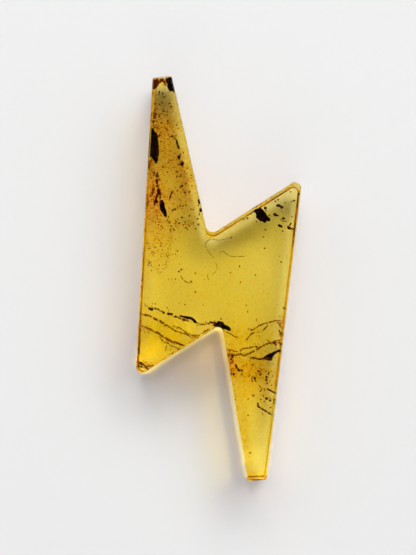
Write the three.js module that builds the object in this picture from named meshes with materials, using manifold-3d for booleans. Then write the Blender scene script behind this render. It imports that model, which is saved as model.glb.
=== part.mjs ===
// A flat-topped amber cabochon cut in the outline of a lightning bolt, 55 mm long, with pieces of
// dark bark sealed in it. It lies on its flat back. Millimetres, +Z up, +Y towards the upper spike,
// origin at the middle of the outline's box on the back face.
// The clear amber is parted in a lower and an upper half, and each bark piece lies in a pocket
// that the two halves share.

import * as THREE from 'three';
import { ConvexGeometry } from 'three/addons/geometries/ConvexGeometry.js';
import { mergeVertices } from 'three/addons/utils/BufferGeometryUtils.js';
import Module from 'manifold-3d';

// Driving dimensions of the slab
const THICKNESS = 5.0;
const PARTING_HEIGHT = THICKNESS / 2;
const TOP_RIM_WIDTH = 0.14;
const TOP_RIM_DROP = 0.14;
const BACK_BEVEL = 0.12;
const RIM_STEPS = 4;
const ARC_STEPS = 8;
const SHARPEST_RADIUS = 0.03;

// Corners of the bolt, anticlockwise seen from above: the point where the two edges would meet, the
// radius the lapidary left there, and how far the wall of the edge after it leans in at the back.
const CORNERS = [
  { name: 'top left', x: -8.96, y: 27.31, radius: 0.15, lean: 0.1 },
  { name: 'left point', x: -11.31, y: -13.53, radius: 0.8, lean: -0.12 },
  { name: 'lower notch', x: 0.45, y: -6.12, radius: 0.75, lean: 0.0 },
  { name: 'bottom left', x: 4.01, y: -27.57, radius: 0.15, lean: 0.0 },
  { name: 'bottom right', x: 6.54, y: -27.32, radius: 0.2, lean: 0.05 },
  { name: 'right point', x: 11.44, y: 13.94, radius: 0.8, lean: 0.4 },
  { name: 'upper notch', x: -1.42, y: 5.77, radius: 1.0, lean: 0.05 },
  { name: 'top right', x: -6.39, y: 27.59, radius: 0.15, lean: 0.1 },
];

// Room left round each sealed piece, and how deep it lies under the wall that cuts it
const POCKET_GAP = 0.3;
const UNDER_WALL = 0.08;

// A bark piece is pulled in at its two faces by this share of its size per millimetre of
// thickness, and keeps its full size over this share of its thickness.
const BARK_TAPER = 0.35;
const BARK_FULL_SHARE = 0.4;

// The sealed bark: outline points seen from above, middle height, thickness, and the rise per
// millimetre along X and Y that tilts the piece.
const BARK = [
  {
    name: 'bark_flake_left_edge',
    height: 2.6,
    thick: 0.6,
    rise: [0.12, 0.06],
    outline: [
      [-9.7, 20.8], [-9.7, 16.7], [-9.2, 16.8], [-8.9, 16.3], [-8.6, 15.9], [-8.35, 16.1],
      [-8.2, 17.4], [-8.25, 18.4], [-8.35, 19.4], [-8.45, 20.0], [-8.75, 20.2], [-9.0, 20.7],
    ],
  },
  {
    name: 'bark_splinter_upper_spike',
    height: 2.7,
    thick: 0.45,
    rise: [0.1, -0.12],
    outline: [
      [-8.0, 10.75], [-8.1, 10.4], [-8.0, 9.95], [-7.9, 9.45], [-7.65, 8.95], [-7.35, 8.55],
      [-7.15, 8.45], [-7.05, 8.75], [-7.2, 9.3], [-7.4, 9.9], [-7.5, 10.5], [-7.65, 10.8],
    ],
  },
  {
    name: 'bark_chip_right_arm',
    height: 2.4,
    thick: 0.8,
    rise: [0.15, 0.1],
    outline: [
      [4.6, 9.5], [4.75, 9.25], [5.05, 9.2], [5.25, 8.9], [5.2, 8.5], [5.45, 8.25], [5.8, 7.95],
      [6.05, 7.95], [6.4, 7.7], [6.6, 7.95], [7.05, 7.95], [7.15, 8.15], [6.75, 8.5],
      [6.45, 9.0], [6.15, 9.4], [5.8, 9.8], [5.5, 9.75], [5.2, 9.95],
    ],
  },
  {
    name: 'bark_sliver_flow_band',
    height: 2.6,
    thick: 0.4,
    rise: [-0.1, 0.05],
    outline: [
      [-5.3, -5.0], [-5.25, -5.25], [-4.75, -5.35], [-4.25, -5.5], [-3.85, -5.6], [-3.5, -5.75],
      [-3.35, -5.95], [-3.1, -6.15], [-2.9, -6.1], [-3.15, -5.8], [-3.45, -5.5], [-3.75, -5.35],
      [-4.1, -5.2], [-4.45, -5.15], [-4.95, -5.05],
    ],
  },
  {
    name: 'bark_chip_lower_notch',
    height: 2.5,
    thick: 0.6,
    rise: [0.08, -0.1],
    outline: [
      [-0.8, -6.4], [-0.4, -6.55], [0.05, -6.65], [0.8, -6.85], [1.2, -7.0], [1.55, -7.2],
      [1.7, -6.95], [1.5, -6.6], [1.2, -6.5], [0.9, -6.4], [0.65, -6.0], [0.25, -5.95],
      [-0.05, -5.8], [-0.15, -6.1], [-0.4, -6.25],
    ],
  },
  {
    name: 'bark_splinter_right_edge',
    height: 2.5,
    thick: 0.5,
    rise: [0.1, 0.1],
    outline: [
      [6.0, -11.05], [6.5, -11.1], [6.85, -11.0], [7.0, -11.2], [7.25, -11.2], [7.45, -10.85],
      [7.6, -10.5], [7.85, -10.3], [8.15, -10.1], [8.8, -10.0], [8.8, -9.75], [8.2, -9.8],
      [7.8, -9.95], [7.35, -10.25], [6.9, -10.4], [6.45, -10.6], [6.3, -10.85],
    ],
  },
];

const AMBER = { color: 0xd9a821, roughness: 0.12, metalness: 0, transparent: true, opacity: 0.6 };
const DARK_BARK = { color: 0x1c120c, roughness: 0.8, metalness: 0 };

const wasm = await Module();
wasm.setup();

// One closed outline of the bolt, moved inwards by inset, at a height of the leaning walls.
function boltOutline(inset, height) {
  const depth = 1 - height / THICKNESS;
  const lines = CORNERS.map((corner, i) => {
    const next = CORNERS[(i + 1) % CORNERS.length];
    const from = new THREE.Vector2(corner.x, corner.y);
    const along = new THREE.Vector2(next.x, next.y).sub(from).normalize();
    const inward = new THREE.Vector2(-along.y, along.x);
    from.addScaledVector(inward, inset + corner.lean * depth);
    return { from, along };
  });
  return CORNERS.flatMap((corner, i) => {
    const before = lines[(i + CORNERS.length - 1) % CORNERS.length];
    return roundedCorner(before, lines[i], corner.radius, inset);
  });
}

// The points of a fillet between two lines: its radius shrinks with the inset on a corner that
// sticks out, and grows on a notch.
function roundedCorner(before, after, fullRadius, inset) {
  const turn = before.along.cross(after.along);
  const shift = after.from.clone().sub(before.from).cross(after.along) / turn;
  const corner = before.from.clone().addScaledVector(before.along, shift);
  const side = Math.sign(turn);
  const radius = Math.max(fullRadius - side * inset, SHARPEST_RADIUS);
  const angle = Math.atan2(turn, before.along.dot(after.along));
  const centre = corner.clone()
    .addScaledVector(before.along, -radius * Math.tan(Math.abs(angle) / 2))
    .addScaledVector(new THREE.Vector2(-before.along.y, before.along.x), side * radius);
  const start = Math.atan2(-side * before.along.x, side * before.along.y);
  return Array.from({ length: ARC_STEPS + 1 }, (_, step) => {
    const at = start + (angle * step) / ARC_STEPS;
    return new THREE.Vector2(Math.cos(at), Math.sin(at)).multiplyScalar(radius).add(centre);
  });
}

// A closed geometry through rings of equally many points, each ring anticlockwise seen from above,
// from the lowest to the highest, with a flat or tilted cap on both ends.
function loft(rings) {
  const count = rings[0].length;
  const faces = [];
  for (let r = 0; r < rings.length - 1; r++) {
    for (let i = 0; i < count; i++) {
      const [a, b] = [r * count + i, r * count + ((i + 1) % count)];
      faces.push(a, b, b + count, a, b + count, a + count);
    }
  }
  const flat = (ring) => ring.map((p) => new THREE.Vector2(p.x, p.y));
  const cap = (ring) => THREE.ShapeUtils.triangulateShape(flat(ring), []);
  for (const [a, b, c] of cap(rings[0])) {
    faces.push(a, c, b);
  }
  const last = (rings.length - 1) * count;
  for (const [a, b, c] of cap(rings[rings.length - 1])) {
    faces.push(last + a, last + b, last + c);
  }
  return new THREE.BufferGeometry().setFromPoints(rings.flat()).setIndex(faces);
}

function ringAt(inset, height) {
  return boltOutline(inset, height).map((p) => new THREE.Vector3(p.x, p.y, height));
}

// The lower half: a small straight bevel round the back face, and the wall over it
function lowerHalf() {
  return loft([ringAt(BACK_BEVEL, 0), ringAt(0, BACK_BEVEL), ringAt(0, PARTING_HEIGHT)]);
}

// The upper half, whose wall rolls over to the top face in a quarter of an ellipse
function upperHalf() {
  const rim = Array.from({ length: RIM_STEPS + 1 }, (_, step) => {
    const angle = (Math.PI / 2) * (step / RIM_STEPS);
    const inset = TOP_RIM_WIDTH * (1 - Math.cos(angle));
    return ringAt(inset, THICKNESS - TOP_RIM_DROP * (1 - Math.sin(angle)));
  });
  return loft([ringAt(0, PARTING_HEIGHT), ...rim]);
}

// The whole slab pulled in all round, which trims the bark where a wall cuts it
function slabInside(inset) {
  return loft([ringAt(inset, BACK_BEVEL), ringAt(inset, THICKNESS - TOP_RIM_DROP)]);
}

function heightAt(bark, x, y) {
  const middle = centreOf(bark.outline);
  return bark.height + bark.rise[0] * (x - middle.x) + bark.rise[1] * (y - middle.y);
}

function centreOf(outline) {
  const sum = outline.reduce((total, [x, y]) => total.add(new THREE.Vector2(x, y)), new THREE.Vector2());
  return sum.divideScalar(outline.length);
}

// A bark piece: full width at its middle height, and pulled in at its upper and lower faces
function barkPiece(bark) {
  const middle = centreOf(bark.outline);
  const ring = (share, lift) => bark.outline.map(([x, y]) => {
    const p = new THREE.Vector2(x, y).sub(middle).multiplyScalar(share).add(middle);
    return new THREE.Vector3(p.x, p.y, heightAt(bark, p.x, p.y) + lift);
  });
  const half = bark.thick / 2;
  const full = half * BARK_FULL_SHARE;
  const pulled = 1 - BARK_TAPER * bark.thick;
  return loft([ring(pulled, -half), ring(1, -full), ring(1, full), ring(pulled, half)]);
}

// The pocket for a bark piece: the convex space that clears it all round
function barkPocket(bark) {
  const reach = bark.thick / 2 + POCKET_GAP;
  const points = bark.outline.flatMap(([x, y]) =>
    [-1, 1].flatMap((side) => Array.from({ length: ARC_STEPS }, (_, step) => {
      const angle = (2 * Math.PI * (step + 0.5)) / ARC_STEPS;
      const out = POCKET_GAP / Math.cos(Math.PI / ARC_STEPS);
      const [px, py] = [x + out * Math.cos(angle), y + out * Math.sin(angle)];
      return new THREE.Vector3(px, py, heightAt(bark, px, py) + side * reach);
    })));
  return new ConvexGeometry(points);
}

function solidOf(geometry) {
  const bare = geometry.clone();
  bare.deleteAttribute('normal');
  bare.deleteAttribute('uv');
  const merged = mergeVertices(bare);
  return new wasm.Manifold(new wasm.Mesh({
    numProp: 3,
    vertProperties: merged.attributes.position.array,
    triVerts: new Uint32Array(merged.index.array),
  }));
}

function geometryOf(solid) {
  const mesh = solid.getMesh();
  const geometry = new THREE.BufferGeometry();
  geometry.setAttribute('position', new THREE.BufferAttribute(mesh.vertProperties, 3));
  geometry.setIndex(new THREE.BufferAttribute(mesh.triVerts, 1));
  geometry.computeVertexNormals();
  return geometry;
}

function namedMesh(name, solid, look) {
  const mesh = new THREE.Mesh(geometryOf(solid), new THREE.MeshStandardMaterial(look));
  mesh.name = name;
  return mesh;
}

const pockets = BARK.map((bark) => solidOf(barkPocket(bark)));
const trimmed = solidOf(slabInside(UNDER_WALL));
const cutPockets = (half) => pockets.reduce((left, pocket) => left.subtract(pocket), solidOf(half));

const cabochon = new THREE.Group();
cabochon.add(namedMesh('amber_lower_half', cutPockets(lowerHalf()), AMBER));
cabochon.add(namedMesh('amber_upper_half', cutPockets(upperHalf()), AMBER));
for (const bark of BARK) {
  cabochon.add(namedMesh(bark.name, solidOf(barkPiece(bark)).intersect(trimmed), DARK_BARK));
}

// The outline's box is centred on the origin
const box = new THREE.Box3().setFromObject(cabochon);
const middle = box.getCenter(new THREE.Vector3());
cabochon.children.forEach((mesh) => mesh.geometry.translate(-middle.x, -middle.y, 0));

export default cabochon;
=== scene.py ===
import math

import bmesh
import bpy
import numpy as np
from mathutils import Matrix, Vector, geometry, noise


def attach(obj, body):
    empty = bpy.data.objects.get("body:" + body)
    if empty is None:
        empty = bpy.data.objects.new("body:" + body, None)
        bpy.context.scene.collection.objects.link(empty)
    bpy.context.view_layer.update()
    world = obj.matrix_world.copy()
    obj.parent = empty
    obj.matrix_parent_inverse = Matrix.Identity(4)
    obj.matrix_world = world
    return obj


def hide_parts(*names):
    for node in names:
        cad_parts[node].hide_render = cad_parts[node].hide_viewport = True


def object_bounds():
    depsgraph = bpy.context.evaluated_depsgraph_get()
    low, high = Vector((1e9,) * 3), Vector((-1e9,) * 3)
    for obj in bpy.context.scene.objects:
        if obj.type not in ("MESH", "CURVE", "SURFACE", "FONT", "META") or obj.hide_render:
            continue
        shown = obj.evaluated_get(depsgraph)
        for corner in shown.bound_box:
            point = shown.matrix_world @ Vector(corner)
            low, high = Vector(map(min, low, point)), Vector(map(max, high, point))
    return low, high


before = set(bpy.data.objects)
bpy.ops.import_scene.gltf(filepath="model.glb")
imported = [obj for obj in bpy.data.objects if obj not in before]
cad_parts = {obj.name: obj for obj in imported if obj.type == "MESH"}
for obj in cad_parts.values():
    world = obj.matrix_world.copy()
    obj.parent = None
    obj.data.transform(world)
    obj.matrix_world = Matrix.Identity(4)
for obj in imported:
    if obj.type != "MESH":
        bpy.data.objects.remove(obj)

# Dresses the amber cabochon: one clear piece of amber in place of the two solid halves, and sealed
# in it bark, dust, flow lines and a hair. A pale floor, soft light and the camera go with it.
# Points and sizes are in millimetres in the frame of the solids, and what is called a place is in
# pixels of the photograph. Blender's objects are in metres, so meshes are scaled by MM.

MM = 0.001
CAD_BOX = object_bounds()
THICKNESS = CAD_BOX[1].z / MM

# The bolt's outline: corner x and y, the radius left there, and how far the wall of the edge that
# follows leans in at the back, all in mm, anticlockwise seen from above. The outline is moved by
# SHIFT, which is worked out below.
CORNERS = [
    (-8.96, 27.31, 0.15, 0.1),
    (-11.31, -13.53, 0.8, -0.12),
    (0.45, -6.12, 0.75, 0.0),
    (4.01, -27.57, 0.15, 0.0),
    (6.54, -27.32, 0.2, 0.05),
    (11.44, 13.94, 0.8, 0.4),
    (-1.42, 5.77, 1.0, 0.05),
    (-6.39, 27.59, 0.15, 0.1),
]
TOP_RIM_WIDTH = 0.14
TOP_RIM_DROP = 0.14
BACK_BEVEL = 0.12
SHARPEST_RADIUS = 0.03
RIM_STEPS = 10
WALL_STEPS = 6
ARC_STEPS = 8
EDGE_STEP = 0.3
TOP_GRID_STEP = 0.22
BACK_GRID_STEP = 0.45
AMBER_IOR = 1.54
# Points nearer to each other than this, in mm, are made one: in the amber, and as a cap is filled.
WELD_DISTANCE = 1e-4
CAP_WELD = 1e-7
# How far the inner points of a cap keep from its ring, as a share of their step
CAP_MARGIN = 0.6
# Keeps a division by a side without length from failing
TINY = 1e-12

# The photograph's frame: its size in pixels, how many mm of the top face a pixel shows, and the
# place where the origin of the corners lies. The camera looks straight down on the middle of it,
# from this height in mm over the top face.
PICTURE_SIZE = (416, 555)
MM_PER_PIXEL = 0.1359
PICTURE_ORIGIN = (218.5, 278.65)
CAMERA_HEIGHT = 140.0


# Outline of the bolt

def outline(inset, height):
    """The bolt's outline in mm moved in by inset, at a height of its leaning walls."""
    depth = 1 - height / THICKNESS
    lines = []
    for i, (x, y, _, lean) in enumerate(CORNERS):
        start = Vector((x, y))
        along = (Vector(CORNERS[(i + 1) % len(CORNERS)][:2]) - start).normalized()
        inward = Vector((-along.y, along.x))
        lines.append((start + inward * (inset + lean * depth), along))
    arcs = []
    for i, (_, _, radius, _) in enumerate(CORNERS):
        arcs.append(corner_arc(lines[i - 1], lines[i], radius, inset))
    points = []
    for i, arc in enumerate(arcs):
        points += arc
        following = arcs[(i + 1) % len(arcs)][0]
        full = (Vector(CORNERS[(i + 1) % len(CORNERS)][:2]) - Vector(CORNERS[i][:2])).length
        steps = max(2, round(full / EDGE_STEP))
        points += [arc[-1].lerp(following, k / steps) for k in range(1, steps)]
    return np.array([(p.x, p.y) for p in points])


def corner_arc(before, after, full_radius, inset):
    """The fillet between two lines, tighter with the inset where the corner sticks out."""
    turn = before[1].cross(after[1])
    shift = (after[0] - before[0]).cross(after[1]) / turn
    corner = before[0] + before[1] * shift
    side = math.copysign(1, turn)
    radius = max(full_radius - side * inset, SHARPEST_RADIUS)
    angle = math.atan2(turn, before[1].dot(after[1]))
    inward = Vector((-before[1].y, before[1].x))
    centre = corner - before[1] * (radius * math.tan(abs(angle) / 2)) + inward * (side * radius)
    start = math.atan2(-side * before[1].x, side * before[1].y)
    turns = [start + angle * k / ARC_STEPS for k in range(ARC_STEPS + 1)]
    return [centre + radius * Vector((math.cos(t), math.sin(t))) for t in turns]


def outline_shift():
    """What centres the outline's box on the origin, as the solids are."""
    heights = (BACK_BEVEL, THICKNESS - TOP_RIM_DROP)
    rings = np.concatenate([outline(0, height) for height in heights])
    return -(rings.min(0) + rings.max(0)) / 2


SHIFT = outline_shift()
CAMERA = (
    (PICTURE_SIZE[0] / 2 - PICTURE_ORIGIN[0]) * MM_PER_PIXEL + SHIFT[0],
    (PICTURE_ORIGIN[1] - PICTURE_SIZE[1] / 2) * MM_PER_PIXEL + SHIFT[1],
    THICKNESS + CAMERA_HEIGHT,
)


def sealed_at(places, depths):
    """The points in mm, at depths under the top face, that the picture shows at these places."""
    places = np.atleast_2d(np.asarray(places, float))
    depths = np.broadcast_to(np.asarray(depths, float), len(places))
    spread = 1 + depths / (AMBER_IOR * CAMERA_HEIGHT)
    x = CAMERA[0] + (places[:, 0] - PICTURE_SIZE[0] / 2) * MM_PER_PIXEL * spread
    y = CAMERA[1] + (PICTURE_SIZE[1] / 2 - places[:, 1]) * MM_PER_PIXEL * spread
    return np.stack([x, y, THICKNESS - depths], 1)


def place_of(points):
    """The places of the picture that show these points of the amber."""
    depths = THICKNESS - points[:, 2]
    pixels = MM_PER_PIXEL * (1 + depths / (AMBER_IOR * CAMERA_HEIGHT))
    x = PICTURE_SIZE[0] / 2 + (points[:, 0] - CAMERA[0]) / pixels
    y = PICTURE_SIZE[1] / 2 - (points[:, 1] - CAMERA[1]) / pixels
    return np.stack([x, y], 1)


def is_inside(spots, ring):
    """Which spots lie inside a closed ring, in the plane."""
    start_x, start_y = ring.T
    end_x, end_y = np.roll(ring, -1, 0).T
    x, y = spots[:, :1], spots[:, 1:2]
    crosses = (start_y > y) != (end_y > y)
    rise = np.where(end_y == start_y, 1, end_y - start_y)
    crossing = start_x + (end_x - start_x) * (y - start_y) / rise
    return (crosses & (x < crossing)).sum(1) % 2 == 1


def distance_to(spots, ring):
    """How far each spot is from a closed ring, in the plane."""
    along = np.roll(ring, -1, 0) - ring
    away = spots[:, None, :2] - ring[None]
    share = (away * along).sum(2) / np.maximum((along ** 2).sum(1), TINY)
    nearest = ring + along * np.clip(share, 0, 1)[..., None]
    return np.linalg.norm(spots[:, None, :2] - nearest, axis=2).min(1)


# Meshes

def mesh_piece(name, points, faces, material, smooth=True, weld=None):
    """A mesh object from points in mm, with its faces pointing out, and points nearer than weld made one."""
    mesh = bpy.data.meshes.new(name)
    mesh.from_pydata((np.asarray(points) * MM).tolist(), [], faces)
    mesh.validate()
    work = bmesh.new()
    work.from_mesh(mesh)
    if weld:
        bmesh.ops.remove_doubles(work, verts=work.verts, dist=weld * MM)
    bmesh.ops.recalc_face_normals(work, faces=work.faces)
    work.to_mesh(mesh)
    work.free()
    mesh.polygons.foreach_set("use_smooth", [smooth] * len(mesh.polygons))
    mesh.materials.append(material)
    return placed(name, mesh)


def placed(name, data):
    """A new object in the scene."""
    thing = bpy.data.objects.new(name, data)
    bpy.context.scene.collection.objects.link(thing)
    return thing


def ring_faces(rings, count):
    """The faces between so many rings that follow each other, with so many points in each."""
    faces = []
    for ring in range(rings - 1):
        for i in range(count):
            a = ring * count + i
            b = ring * count + (i + 1) % count
            faces.append((a, b, b + count, a + count))
    return faces


# Shape of the amber

def grid_inside(ring, step, margin):
    """Spots of a triangular grid inside a ring, at least a margin from it."""
    row_height = step * math.sqrt(3) / 2
    rows = []
    for number, y in enumerate(np.arange(ring[:, 1].min(), ring[:, 1].max(), row_height)):
        start = ring[:, 0].min() + (number % 2) * step / 2
        row = np.arange(start, ring[:, 0].max(), step)
        rows.append(np.stack([row, np.full_like(row, y)], 1))
    spots = np.concatenate(rows)
    spots = spots[is_inside(spots, ring)]
    return spots[distance_to(spots, ring) > margin]


def cap(ring, height, step):
    """Points and triangles about a step wide that fill a ring at one height."""
    spots = np.concatenate([ring, grid_inside(ring, step, step * CAP_MARGIN)])
    border = [list(range(len(ring)))]
    made = geometry.delaunay_2d_cdt([Vector(s) for s in spots], [], border, 1, CAP_WELD)
    points = np.array([(p.x, p.y, height) for p in made[0]])
    return points, [list(face) for face in made[2]]


def amber_rings():
    """Inset and height of each ring, from the back bevel, up the wall, to the top rim."""
    rings = [(BACK_BEVEL * (1 - k / RIM_STEPS), BACK_BEVEL * k / RIM_STEPS) for k in range(RIM_STEPS + 1)]
    wall = THICKNESS - TOP_RIM_DROP - BACK_BEVEL
    rings += [(0, BACK_BEVEL + wall * k / WALL_STEPS) for k in range(1, WALL_STEPS)]
    for step in range(RIM_STEPS + 1):
        angle = math.pi / 2 * step / RIM_STEPS
        drop = TOP_RIM_DROP * (1 - math.sin(angle))
        rings.append((TOP_RIM_WIDTH * (1 - math.cos(angle)), THICKNESS - drop))
    return rings


def amber_body(material):
    rings = []
    for inset, height in amber_rings():
        flat = outline(inset, height) + SHIFT
        rings.append(np.column_stack([flat, np.full(len(flat), height)]))
    faces = ring_faces(len(rings), len(rings[0]))
    points = np.concatenate(rings)
    for ring, height, step in ((rings[0], 0.0, BACK_GRID_STEP), (rings[-1], THICKNESS, TOP_GRID_STEP)):
        made, triangles = cap(ring[:, :2], height, step)
        faces += [[len(points) + corner for corner in triangle] for triangle in triangles]
        points = np.concatenate([points, made])
    piece = mesh_piece("amber_body", points, faces, material, weld=WELD_DISTANCE)
    paint(piece)
    return piece


# Sealed things

# Bark and dust specks that stand out: place, width in pixels, height where it is another, and turn
# in degrees where there is one.
BLACK_SPECKS = [
    (159.3, 92, 1.4, 2.4), (162.6, 93.3, 1.7), (169.7, 103.4, 1.7), (167.8, 121.1, 1.7, 2.3, 30),
    (155, 127.4, 1.6, 1.5), (159.7, 135.4, 2, 1.7), (172.4, 136.3, 2.1), (177.2, 143.4, 1.7, 9, 15),
    (178.2, 146.9, 2.2, 4.6, 15), (178.8, 157.5, 2.7, 4), (182.1, 164, 3.3, 4, -10),
    (180.2, 164.3, 2.2, 1.5), (181.8, 186, 3.2, 1.8, 40), (184.8, 192.4, 1.7), (198.9, 201.5, 2, 4.4, 15),
    (200.4, 210.1, 2.3, 3), (182, 217.4, 1.9, 1.7), (189.4, 215.6, 1.5), (179.3, 223.1, 1.8, 1.6),
    (186, 227.6, 1.8, 1.6), (198.5, 224.5, 1.4, 1.9, -30), (155.6, 201, 3.2, 2.6, 20), (157.2, 202, 1.8),
    (154.5, 204.2, 1.6, 2.4, -10), (172.8, 210, 2.1, 1.6, 20), (174.8, 208.9, 1.5, 1.9),
    (181.4, 269.4, 1.7, 1.6), (179.1, 271.3, 1.6), (191, 281.5, 1.6, 1.4), (298.3, 194, 1.9, 2.2),
    (294.1, 200.7, 2.1, 1.8), (278.6, 205.7, 4.6, 2.4, -5), (281.7, 207.1, 3, 2.6, -30),
    (265.3, 208.1, 2.6, 2.4), (275, 214.7, 3.6, 2.6, -20), (277.6, 215.5, 2.2, 1.5), (283.4, 218.5, 3, 2),
    (280.1, 225.9, 4.8, 2, -28), (290.3, 224.4, 1.3, 3.1, -35), (289.5, 228.2, 4.2, 2.4, -15),
    (247.4, 218.3, 1.8, 1.7), (282.4, 231, 1.4), (283.9, 308.1, 2.6, 1.5, -20),
    (155.3, 308.4, 2.2, 1.6, -20), (158.4, 309.6, 2, 1.5, -20), (163.3, 312.4, 3, 1.8, -20),
    (168.6, 313.6, 3.4, 2, -10), (171.6, 314.4, 2.6, 1.9, -10), (175.6, 316.7, 2.6, 2, -20),
    (184.2, 319.9, 2.4, 1.8, -15), (175.3, 330.8, 1.9, 1.3, -25), (185.1, 333.9, 1.8, 1.3, -20),
    (180.2, 344.4, 2, 1.9), (182.3, 344.9, 2.6, 1.6, -15), (179.3, 348.8, 2, 1.3, -20),
    (140.9, 362.9, 2.2, 1.6), (141.5, 366.9, 2.4, 1.5, 10), (138.8, 366.2, 1.6),
    (251.9, 333.6, 2.6, 1.4, 30), (251.9, 330, 2, 1.3), (247, 339.3, 1.4, 2, -35),
    (264.6, 328.9, 1.4, 2.8, -40), (256.7, 347.1, 2.2, 1.5, 10), (274.4, 342.7, 3, 2.2, 20),
    (275.9, 344.8, 1.8, 1.9), (281, 344, 3.2, 1.9, 20), (232.3, 356.4, 2, 3.2), (231.2, 358.9, 1.6, 2),
    (236.3, 366, 1.8, 3.6, 30), (238.9, 370.3, 3.2, 2, -35), (241.8, 370.4, 2), (241.6, 374.2, 1.5),
    (233.6, 374.2, 1.7, 2.6), (268.7, 373.4, 1.3, 3.2, -10), (266.5, 376.9, 1.7, 2.8, -15),
    (266.4, 379.9, 2, 2.2), (267.2, 383.2, 1.1, 2.4, 10), (271, 359.9, 1.7, 1.5),
    (254.8, 378.5, 2.4, 2.2, 20), (255.4, 381, 1.5, 1.4), (260.5, 391.2, 1.4),
    (266.5, 398.4, 2.8, 2.2, -30), (270.2, 400.4, 2.1, 1.9), (274, 399.7, 2.3, 1.4), (273.9, 402.5, 2),
    (257.9, 404, 1.8, 2.4), (235, 399.4, 1.3, 1.4),
]
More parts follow.
